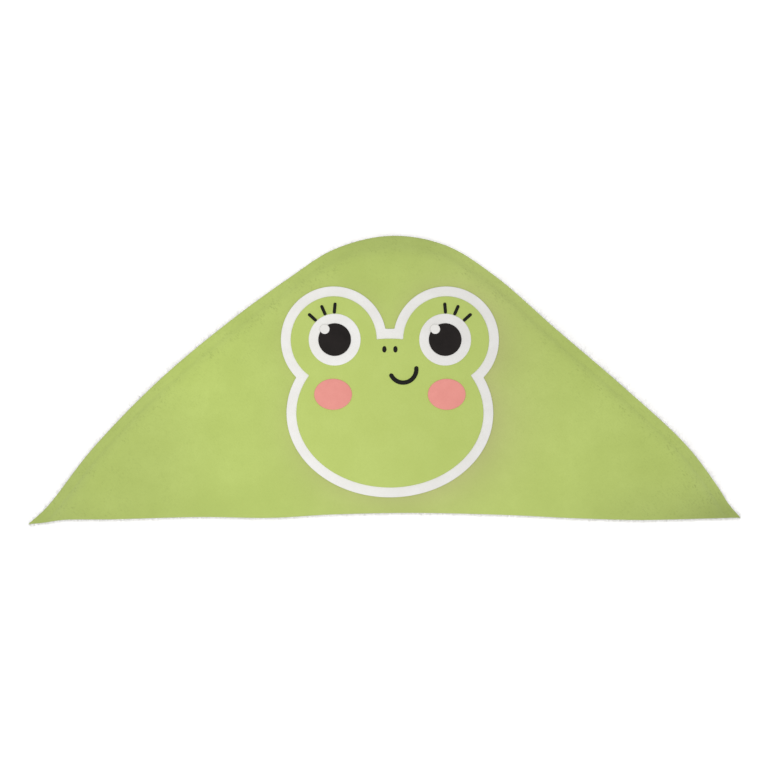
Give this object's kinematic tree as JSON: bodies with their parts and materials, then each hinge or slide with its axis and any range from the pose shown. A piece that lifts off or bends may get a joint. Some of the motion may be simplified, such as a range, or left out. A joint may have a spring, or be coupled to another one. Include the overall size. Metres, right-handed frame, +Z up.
{
  "type": "hooded baby towel",
  "caption": "Hooded baby towel folded into a bundle under its hood: a green velour frog hood over white terry, opening on a hinge along the hem fold.",
  "frame": {"origin": "middle of the plan, on the surface that the folded towel lies on", "axes": "+X to the right along the hood's hem as the face is seen, +Y from the hem to the hood's crown, +Z up out of the face"},
  "size_m": [0.382, 0.1544, 0.0435],
  "materials": {
    "white_terry": "soft looped cotton terry",
    "green_velour": "short sheared cotton pile, soft matt",
    "green_face_velour": "short sheared cotton pile, soft matt",
    "white_felt": "smooth matt felt",
    "black_felt": "smooth matt felt",
    "pink_felt": "smooth matt felt",
    "white_thread": "satin stitched thread",
    "black_thread": "satin stitched thread"
  },
  "bodies": {
    "tucked_half": {"towel_tucked_half": "white_terry"},
    "hood_half": {"towel_hood_half": "white_terry", "hood_lining": "white_terry", "hood_outer": "green_velour", "hood_seam_thread": "white_thread", "face_backing": "white_felt", "face_patch": "green_face_velour", "eye_white_left": "white_felt", "eye_white_right": "white_felt", "pupil_left": "black_felt", "pupil_right": "black_felt", "eye_glint_left": "white_thread", "eye_glint_right": "white_thread", "lash_left_1": "black_thread", "lash_left_2": "black_thread", "lash_left_3": "black_thread", "lash_right_1": "black_thread", "lash_right_2": "black_thread", "lash_right_3": "black_thread", "nostril_left": "black_thread", "nostril_right": "black_thread", "cheek_left": "pink_felt", "cheek_right": "pink_felt", "smile": "black_thread"}
  },
  "joints": [
    {"name": "hem_fold", "type": "hinge", "parent": "tucked_half", "child": "hood_half", "pos_m": [0, -0.0703, 0.0225], "axis": [1, 0, 0], "range_deg": [0, 178]}
  ]
}
